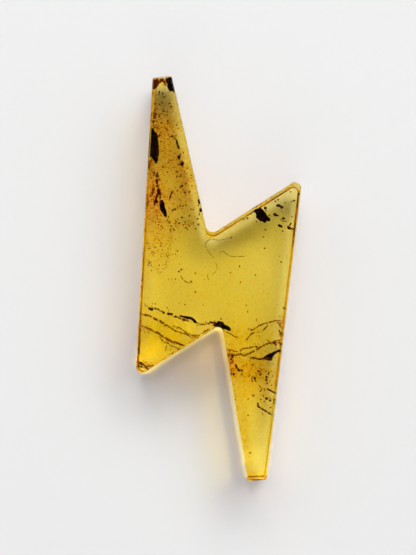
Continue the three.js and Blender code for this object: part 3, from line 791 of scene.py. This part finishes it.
def cloud_of_dust(pile, x, y, half_width, half_height, count, depths, turn=0):
    count = round(CLOUD_SHARE * count)
    at = pile.random.normal(0, CLOUD_SPREAD, (count, 2)) * (half_width, half_height)
    pile.dust((x, y) + at @ turning(turn), depths, CLOUD_SIZES)


def dust_clouds(material):
    pile = Pile(CLOUD_SEED)
    for cloud in DUST_CLOUDS:
        cloud_of_dust(pile, *cloud)
    pile.finished("clouds_of_dust", material)


# Patches of colour in the amber, and of painted shade: the place of the middle, half the width and
# height in pixels, the strength, and the turn in degrees where there is one.
PATCHES = {
    "gold": [
        (163, 145, 20, 66, 0.3, 5), (190, 178, 9, 26, 0.3, -15), (156, 240, 20, 22, 0.2),
        (205, 290, 20, 12, 0.1), (240, 307, 22, 11, 0.08), (152, 349, 24, 18, 0.45),
        (190, 350, 26, 7, 0.2, 31), (170, 329, 32, 14, 0.52, 20), (238, 338, 15, 17, 0.45),
        (262, 338, 16, 12, 0.3), (250, 370, 20, 16, 0.62), (246, 394, 13, 9, 0.2), (257, 479, 12, 3, 0.8),
        # Less gold at the right arm's tip (286, 205) is painted light; less at (166, 98) and (222, 246)
        # greys the painted shade at the top tip and under the upper slanted edge.
        (166, 98, 9, 14, -0.2), (268, 262, 24, 36, -0.18), (286, 205, 14, 18, -0.35),
        (222, 246, 24, 8, -0.2, -10), (200, 258, 14, 10, -0.06), (256, 448, 12, 30, -0.3),
        (283, 290, 6, 50, -0.15, 4), (247, 440, 6, 34, 0.4, -8), (269, 440, 4, 34, 0.3, 6),
        (257, 455, 7, 16, -0.2),
    ],
    "stain": [
        (152, 108, 4, 24, 0.6, 4), (162, 128, 13, 15, 0.54), (175, 100, 6, 16, 0.12, -12),
        (150, 160, 4, 12, 0.5), (166, 154, 13, 15, 0.17), (184, 172, 10, 20, 0.36, -15),
        (154, 194, 9, 24, 0.72), (176, 198, 16, 12, 0.24), (188, 214, 12, 12, 0.05),
        (158, 222, 16, 10, 0.1), (155, 246, 15, 16, 0.1), (145, 364, 7, 4, 0.4, 20),
        (250, 369, 17, 12, 0.28), (231.5, 362, 5, 13, 0.6, -8), (264, 354, 13, 6, 0.06, -20),
        (240, 338, 10, 10, 0.08), (250, 390, 14, 8, 0.06), (270, 384, 6, 22, 0.15, 5),
        (282, 330, 4, 12, 0.2), (244, 430, 4, 26, 0.1, -8), (250, 477, 2, 2, 0.3),
        (264.5, 475.5, 2, 2.5, 0.4),
    ],
    # Painted shade: the grey darkening at the top tip and in the band under the upper slanted edge stands
    # for the shadow of the walls; along the left wall it darkens the dark brown tone.
    "dark_tone_and_painted_shade": [
        (165, 99, 8.5, 12, 0.42, -6), (174, 116, 6, 12, 0.25, -14), (152, 106, 3, 18, 0.25, 3),
        (150, 163, 5, 10, 0.3), (152, 205, 7, 16, 0.1), (184, 176, 8, 14, 0.06, -15),
        (236, 237, 20, 7, 0.16, -15), (230, 244, 16, 7, 0.12, -10),
    ],
}
# How much the amber has away from every patch
PLAIN_AMOUNT = {"gold": 0.32, "stain": 0.04, "dark_tone_and_painted_shade": 0.0}
# How sharply a patch ends: the power that the square of a point's distance out is raised to
PATCH_EDGE = {"gold": 1.0, "stain": 1.2, "dark_tone_and_painted_shade": 2.5}

# What the strip along an edge has more than the rest, by the number of the corner where the edge
# starts: its width in mm, gold, stain, and the share of other stain, dark tone and painted shade it keeps.
EDGE_STRIPS = {
    0: (0.32, 0.6, 0.3, 1.0), 1: (0.3, 0.4, 0.3, 1.0), 2: (0.5, 0.35, 0.05, 1.0),
    3: (0.55, 1.0, 0.35, 1.0), 4: (0.4, 0.6, 0.06, 1.0), 5: (0.55, 0.9, 0.22, 1.0),
    6: (0.5, 0.3, 0.06, 0.25), 7: (0.8, 0.9, 0.7, 1.0),
}
# The share of a strip's width over which it fades
STRIP_FADE = 0.35


def strip_share(points, corner, width):
    """How much each point belongs to the strip along the edge that starts at a corner."""
    start = np.array(CORNERS[corner][:2]) + SHIFT
    edge = np.array(CORNERS[(corner + 1) % len(CORNERS)][:2]) + SHIFT - start
    length = np.linalg.norm(edge)
    edge = edge / length
    away = points[:, :2] - start
    far_along = away @ edge
    distance = np.abs(away @ (-edge[1], edge[0]))
    share = np.clip((width - distance) / (STRIP_FADE * width), 0, 1)
    return share * ((far_along > 0) & (far_along < length))


def patch_amount(places, sharpness, x, y, half_width, half_height, strength, turn=0):
    """What one patch gives each place: its full strength in the middle and less further out."""
    away = (places - (x, y)) @ turning(-turn) / (half_width, half_height)
    return strength * np.exp(-(away ** 2).sum(1) ** sharpness)


def paint(piece):
    """Writes how much of each kind of patch every point of the amber has."""
    mesh = piece.data
    flat = np.empty(len(mesh.vertices) * 3)
    mesh.vertices.foreach_get("co", flat)
    points = flat.reshape(-1, 3) / MM
    places = place_of(points)
    amounts = {}
    for kind, patches in PATCHES.items():
        amounts[kind] = np.full(len(places), PLAIN_AMOUNT[kind])
        for patch in patches:
            amounts[kind] += patch_amount(places, PATCH_EDGE[kind], *patch)
    for corner, (width, gold, stain, kept) in EDGE_STRIPS.items():
        share = strip_share(points, corner, width)
        # A strip keeps only a share of the stain, the dark tone and the painted shade.
        for kind in ("stain", "dark_tone_and_painted_shade"):
            amounts[kind] *= 1 - share * (1 - kept)
        amounts["gold"] += share * gold
        amounts["stain"] += share * stain
    for kind, amount in amounts.items():
        layer = mesh.attributes.new(kind, "FLOAT", "POINT")
        layer.data.foreach_set("value", np.clip(amount, 0, 1))


# Materials

def new_material(name):
    material = bpy.data.materials.new(name)
    material.use_nodes = True
    return material, material.node_tree.nodes["Principled BSDF"]


def added(tree, kind, **settings):
    """A new node, with settings for its fields, or for its inputs where they have those names."""
    node = tree.nodes.new(kind)
    for name, value in settings.items():
        field = name.replace("_", " ").title()
        if field in node.inputs:
            node.inputs[field].default_value = value
        else:
            setattr(node, name, value)
    return node


def calculated(tree, operation, *values, kind="Math", result="Value"):
    """A result of a Math or VectorMath node, with numbers, vectors or sockets put in."""
    node = added(tree, "ShaderNode" + kind, operation=operation)
    for socket, value in zip(node.inputs, values):
        if isinstance(value, bpy.types.NodeSocket):
            tree.links.new(value, socket)
        else:
            socket.default_value = value
    return node.outputs[result]


def height_of(tree, place):
    """The Z of a place or a direction."""
    parts = tree.nodes.new("ShaderNodeSeparateXYZ")
    tree.links.new(place, parts.inputs["Vector"])
    return parts.outputs["Z"]


def product(tree, first, *others):
    """The product of numbers and sockets, of which at least one of the first two is a socket."""
    for other in others:
        first = calculated(tree, "MULTIPLY", first, other)
    return first


def noise_value(tree, scale_per_mm, detail, low, high, stretch=(1, 1, 1)):
    """Noise of so many turns per mm, made steeper: nought under low and one over high."""
    place = tree.nodes.new("ShaderNodeTexCoord").outputs["Object"]
    scale = [s / MM for s in stretch]
    scaled = calculated(tree, "MULTIPLY", place, scale, kind="VectorMath", result="Vector")
    grain = added(tree, "ShaderNodeTexNoise", scale=scale_per_mm, detail=detail, roughness=NOISE_ROUGHNESS)
    tree.links.new(scaled, grain.inputs["Vector"])
    steep = tree.nodes.new("ShaderNodeMapRange")
    steep.inputs["From Min"].default_value = low
    steep.inputs["From Max"].default_value = high
    tree.links.new(grain.outputs["Fac"], steep.inputs["Value"])
    return steep.outputs["Result"]


def tinted(tree, colour, tint, amount):
    """A colour, or a colour socket, multiplied by a tint, as far as the amount says."""
    mix = added(tree, "ShaderNodeMix", data_type="RGBA", blend_type="MULTIPLY")
    sockets = {(s.name, s.type): s for s in mix.inputs}
    tree.links.new(amount, mix.inputs[0])
    if isinstance(colour, bpy.types.NodeSocket):
        tree.links.new(colour, sockets["A", "RGBA"])
    else:
        sockets["A", "RGBA"].default_value = (*colour, 1)
    sockets["B", "RGBA"].default_value = (*tint, 1)
    return [s for s in mix.outputs if s.type == "RGBA"][0]


WHITE = (1, 1, 1)
# What light keeps in red, green and blue when it enters and leaves the amber at a full patch
# The grey tint paints shade at the top tip and under the upper slanted edge, and darkens the dark brown tone
# along the left wall.
TINTS = {"gold": (1.0, 0.87, 0.12), "stain": (1.0, 0.54, 0.18), "dark_tone_and_painted_shade": (0.5, 0.42, 0.48)}
SPECK_TINT = (0.3, 0.14, 0.06)
# Patterns of the top face: turns per mm, detail, and the values that count as nought and as one
GRAIN = (2.7, 2, 0.42, 0.6)
CLOUDS = (1.8, 4, 0.35, 0.65)
SPECKS = (3.2, 2, 0.5, 0.62)
# How strongly a pattern varies each kind of patch, and how dark the finest specks of a stain are
VARIATION = {"gold": 2.0, "stain": 2.4, "dark_tone_and_painted_shade": 0.6}
SPECK_STRENGTH = 1.9
NOISE_ROUGHNESS = 0.6
POLISH_ROUGHNESS = 0.02
# The colour that the body of the amber keeps, and how strongly per metre it takes the rest
ABSORPTION_COLOUR = (0.998, 0.93, 0.31, 1)
ABSORPTION_DENSITY = 300
# The grain of the matt materials: detail, the values that count as nought and as one, the share
# of its turns that it has along each axis, and how deep its relief is in mm
MATT_GRAIN = (4, 0.35, 0.7)
MATT_STRETCH = (1, 0.3, 1)
RELIEF_DEPTH = 0.05
PAPER_COLOUR = (0.8, 0.8, 0.8, 1)
PAPER_ROUGHNESS = 0.9


def amber_material():
    material, shader = new_material("amber")
    tree = material.node_tree
    shader.inputs["Roughness"].default_value = POLISH_ROUGHNESS
    shader.inputs["IOR"].default_value = AMBER_IOR
    shader.inputs["Transmission Weight"].default_value = 1.0
    on_top = top_face_only(tree)
    grain = noise_value(tree, *GRAIN)
    patterns = {"gold": noise_value(tree, *CLOUDS), "stain": grain, "dark_tone_and_painted_shade": grain}
    colour = WHITE
    amounts = {}
    # Gold, stain, and the grey tint of dark tone and painted shade, one after the other.
    for kind, tint in TINTS.items():
        amount = added(tree, "ShaderNodeAttribute", attribute_name=kind).outputs["Fac"]
        amounts[kind] = varied(tree, amount, patterns[kind], on_top, VARIATION[kind])
        colour = tinted(tree, colour, tint, amounts[kind])
    specks = product(tree, noise_value(tree, *SPECKS), on_top, amounts["stain"], SPECK_STRENGTH)
    colour = tinted(tree, colour, SPECK_TINT, specks)
    tree.links.new(colour, shader.inputs["Base Color"])
    absorption = tree.nodes.new("ShaderNodeVolumeAbsorption")
    absorption.inputs["Color"].default_value = ABSORPTION_COLOUR
    absorption.inputs["Density"].default_value = ABSORPTION_DENSITY
    tree.links.new(absorption.outputs["Volume"], tree.nodes["Material Output"].inputs["Volume"])
    return material


def varied(tree, amount, pattern, on_top, strength):
    """An amount that a pattern from nought to one raises and lowers on the top face."""
    change = product(tree, calculated(tree, "SUBTRACT", pattern, 0.5), strength, on_top)
    return product(tree, amount, calculated(tree, "ADD", change, 1))


def top_face_only(tree):
    """One on the top face and its rim, and nought on the walls and the back."""
    place = tree.nodes.new("ShaderNodeTexCoord").outputs["Object"]
    return calculated(tree, "GREATER_THAN", height_of(tree, place), (THICKNESS - TOP_RIM_DROP) * MM)


def mottled_material(name, dark, light, scale_per_mm, roughness, bump):
    """Matt material between two colours, with a fibrous relief."""
    material, shader = new_material(name)
    tree = material.node_tree
    grain = noise_value(tree, scale_per_mm, *MATT_GRAIN, stretch=MATT_STRETCH)
    ramp = tree.nodes.new("ShaderNodeValToRGB")
    ramp.color_ramp.elements[0].color = (*dark, 1)
    ramp.color_ramp.elements[1].color = (*light, 1)
    tree.links.new(grain, ramp.inputs["Fac"])
    tree.links.new(ramp.outputs["Color"], shader.inputs["Base Color"])
    shader.inputs["Roughness"].default_value = roughness
    shader.inputs["Specular IOR Level"].default_value = 0.0
    relief = added(tree, "ShaderNodeBump", strength=bump, distance=RELIEF_DEPTH * MM)
    tree.links.new(grain, relief.inputs["Height"])
    tree.links.new(relief.outputs["Normal"], shader.inputs["Normal"])
    return material


def floor_material():
    material, shader = new_material("paper_white")
    shader.inputs["Base Color"].default_value = PAPER_COLOUR
    shader.inputs["Roughness"].default_value = PAPER_ROUGHNESS
    return material


# Stage

# The floor lies a little under the back face, so that light slips in under the edges.
FLOOR_GAP = 0.75
FLOOR_SIZE = 1200.0

# The window: where it lies seen from the part, in degrees from +Y towards +X and over the floor,
# its distance and size in metres, and its power in watts
WINDOW_AZIMUTH = 7
WINDOW_ELEVATION = 30
WINDOW_DISTANCE = 1.28
WINDOW_WIDTH = 1.06
WINDOW_HEIGHT = 0.45
WINDOW_POWER = 12.2

# The bright parts of the room: the azimuth of the middle and half the width in degrees, the
# elevations between which they lie, and how bright they are. Straight over the part the room is
# dark, so that the top face reflects little.
ROOM_PARTS = [
    (0, 180, -45, 20, 0.64),
    (45, 22.5, 20, 40, 5.0),
    (-45, 22.5, 20, 40, 2.0),
    (90, 22.5, 20, 40, 1.0),
    (180, 22.5, 20, 40, 1.8),
    (22, 45, 40, 60, 0.8),
    (0, 45, 60, 77, 2.8),
    (90, 45, 60, 77, 0.4),
    (180, 45, 60, 77, 1.0),
]
ROOM_GLIMMER = 0.02

# Lets a part that goes all the way round include the direction opposite its middle
ROUNDING = 1e-4

LONGEST_PATH = 48
SENSOR_WIDTH = 36
NEAREST_SEEN = 0.01


def make_floor():
    half = FLOOR_SIZE / 2
    corners = [(-half, -half), (half, -half), (half, half), (-half, half)]
    points = [(x, y, -FLOOR_GAP) for x, y in corners]
    floor = mesh_piece("floor", points, [(0, 1, 2, 3)], floor_material(), smooth=False)


def make_camera():
    camera = bpy.data.cameras.new("camera")
    camera.sensor_width = SENSOR_WIDTH
    camera.lens = camera.sensor_width * CAMERA_HEIGHT / (PICTURE_SIZE[1] * MM_PER_PIXEL)
    camera.clip_start = NEAREST_SEEN
    holder = placed("camera", camera)
    holder.location = Vector(CAMERA) * MM
    bpy.context.scene.camera = holder


def direction(azimuth, elevation):
    """The way to a point of the room: degrees from +Y towards +X, and degrees over the floor."""
    azimuth, elevation = math.radians(azimuth), math.radians(elevation)
    flat = math.cos(elevation)
    return Vector((math.sin(azimuth) * flat, math.cos(azimuth) * flat, math.sin(elevation)))


def make_window():
    lamp = bpy.data.lights.new("window", "AREA")
    lamp.shape = "RECTANGLE"
    lamp.size = WINDOW_WIDTH
    lamp.size_y = WINDOW_HEIGHT
    lamp.energy = WINDOW_POWER
    holder = placed("window", lamp)
    towards = direction(WINDOW_AZIMUTH, WINDOW_ELEVATION)
    holder.location = towards * WINDOW_DISTANCE
    holder.rotation_euler = towards.to_track_quat("Z", "Y").to_euler()


def make_room():
    world = bpy.data.worlds.new("room")
    world.use_nodes = True
    bpy.context.scene.world = world
    tree = world.node_tree
    way = tree.nodes.new("ShaderNodeTexCoord").outputs["Generated"]
    height = height_of(tree, way)
    level_way = calculated(tree, "MULTIPLY", way, (1, 1, 0), kind="VectorMath", result="Vector")
    level_unit = calculated(tree, "NORMALIZE", level_way, kind="VectorMath", result="Vector")
    brightness = ROOM_GLIMMER
    for azimuth, half_width, low, high, level in ROOM_PARTS:
        towards = calculated(tree, "DOT_PRODUCT", level_unit, direction(azimuth, 0), kind="VectorMath")
        widest = math.cos(math.radians(half_width)) - ROUNDING
        part = calculated(tree, "GREATER_THAN", towards, widest)
        over = calculated(tree, "GREATER_THAN", height, math.sin(math.radians(low)))
        under = calculated(tree, "LESS_THAN", height, math.sin(math.radians(high)))
        part = product(tree, part, product(tree, over, under), level)
        brightness = calculated(tree, "ADD", part, brightness)
    tree.links.new(brightness, tree.nodes["Background"].inputs["Strength"])
    tree.nodes["Background"].inputs["Color"].default_value = (1, 1, 1, 1)


def allow_long_light_paths():
    """Light that enters the amber is reflected many times between its walls, top and back."""
    cycles = bpy.context.scene.cycles
    cycles.blur_glossy = 0
    cycles.sample_clamp_indirect = 0
    cycles.max_bounces = LONGEST_PATH
    cycles.glossy_bounces = LONGEST_PATH
    cycles.transmission_bounces = LONGEST_PATH


# The scene

make_camera()
make_window()
make_room()
allow_long_light_paths()
make_floor()
bpy.context.scene.view_settings.view_transform = "Standard"

# Matt materials: the dark and the light colour, turns of the grain per mm, roughness and relief
MATT = {
    "dark_bark": ((0.001, 0.0007, 0.0006), (0.02, 0.007, 0.004), 4, 0.8, 0.4),
    "brown_dust": ((0.05, 0.012, 0.001), (0.2, 0.055, 0.005), 3, 0.8, 0.2),
    "dark_dust": ((0.006, 0.0015, 0.001), (0.06, 0.014, 0.003), 3, 0.8, 0.2),
    "maroon_dust": ((0.03, 0.004, 0.001), (0.15, 0.03, 0.003), 2, 0.8, 0.3),
    "rusty_streak": ((0.12, 0.036, 0.003), (0.45, 0.17, 0.014), 2, 0.8, 0.2),
    "brown_streak": ((0.26, 0.085, 0.006), (0.7, 0.3, 0.025), 2, 0.8, 0.2),
    "grey_hair": ((0.25, 0.2, 0.08), (0.4, 0.33, 0.14), 5, 0.6, 0.2),
}
# Strand pieces: kind, how many times thicker than noted, how uneven, and material
STRAND_PIECES = {
    "dark_strands": ("black", 1.12, 0.3, "dark_dust"),
    "brown_strands": ("brown", 1.25, 0.45, "rusty_streak"),
    "maroon_strands": ("maroon", 1.0, 0.35, "maroon_dust"),
    "sealed_hair": ("hair", 1.0, 0.05, "grey_hair"),
}

matt = {name: mottled_material(name, *look) for name, look in MATT.items()}
bark_pieces(matt["dark_bark"])
scrap_pieces(matt)
speck_piece("dark_specks", BLACK_SPECKS, BLACK_SEED, matt["dark_dust"])
speck_piece("brown_specks", BROWN_SPECKS, BROWN_SEED, matt["rusty_streak"])
for piece_name, (*strands, finish) in STRAND_PIECES.items():
    strand_piece(piece_name, *strands, matt[finish])
dust_seams(matt["rusty_streak"])
dust_clouds(matt["brown_streak"])

body = amber_body(amber_material())
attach(body, "root")
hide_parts("amber_lower_half", "amber_upper_half")
